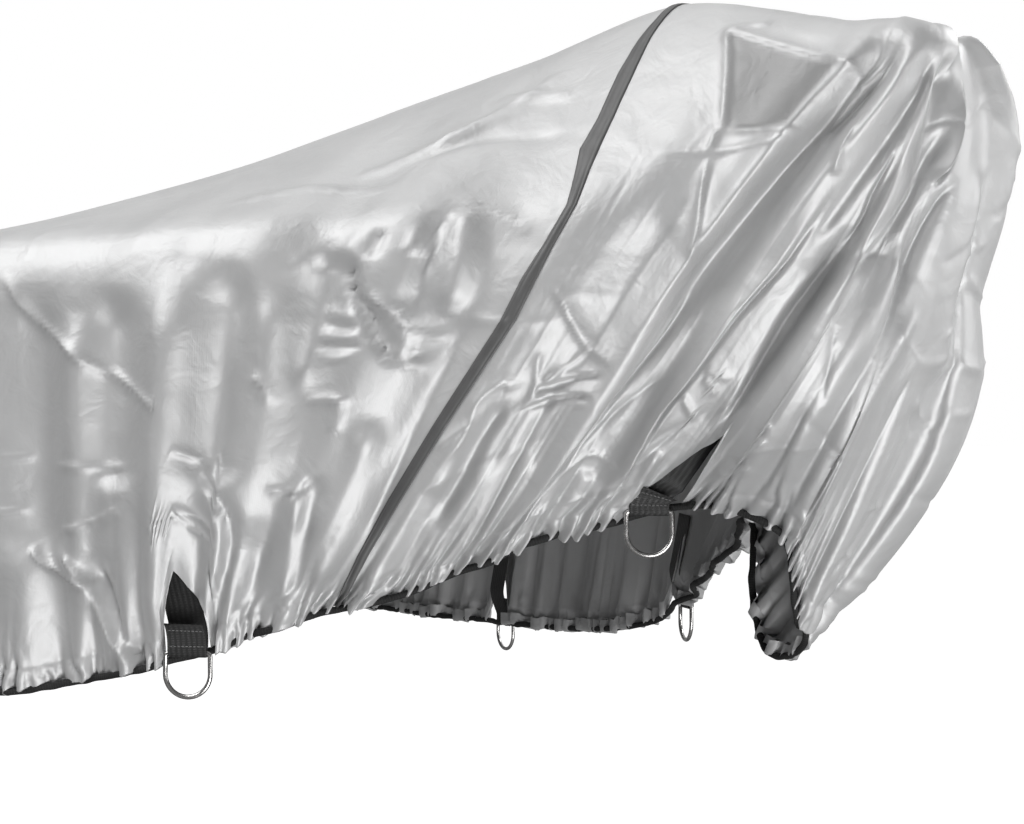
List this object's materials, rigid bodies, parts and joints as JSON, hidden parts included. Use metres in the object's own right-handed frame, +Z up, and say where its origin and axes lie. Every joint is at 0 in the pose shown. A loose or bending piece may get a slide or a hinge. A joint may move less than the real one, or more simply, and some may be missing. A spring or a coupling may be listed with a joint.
{
  "type": "boat cover",
  "caption": "Silver coated-cloth cover fitted over a small V-hull boat, with a gathered elastic hem and webbing straps ending in D-rings for tie-downs.",
  "frame": {"origin": "under the middle of the top, on the cloth's underside", "axes": "+X to the bow, +Y to port, +Z up"},
  "size_m": [4.2399, 1.7327, 0.742],
  "materials": {
    "cloth": "satin silver coating on woven polyester",
    "seam": "doubled cloth band, sewn",
    "elastic": "braided black elastic cord",
    "webbing": "ribbed black webbing",
    "ring": "nickel-plated wire"
  },
  "bodies": {
    "root": {"panel_bow": "cloth", "panel_fore": "cloth", "panel_mid": "cloth", "panel_stern": "cloth", "seam_bow": "seam", "seam_mid": "seam", "seam_stern": "seam", "hem_cord": "elastic", "strap_starboard_1": "webbing", "ring_starboard_1": "ring", "strap_starboard_2": "webbing", "ring_starboard_2": "ring", "strap_starboard_3": "webbing", "ring_starboard_3": "ring", "strap_starboard_4": "webbing", "ring_starboard_4": "ring", "strap_starboard_5": "webbing", "ring_starboard_5": "ring", "strap_starboard_6": "webbing", "ring_starboard_6": "ring", "strap_port_1": "webbing", "ring_port_1": "ring", "strap_port_2": "webbing", "ring_port_2": "ring", "strap_port_3": "webbing", "ring_port_3": "ring", "strap_port_4": "webbing", "ring_port_4": "ring", "strap_port_5": "webbing", "ring_port_5": "ring", "strap_port_6": "webbing", "ring_port_6": "ring"}
  },
  "joints": []
}
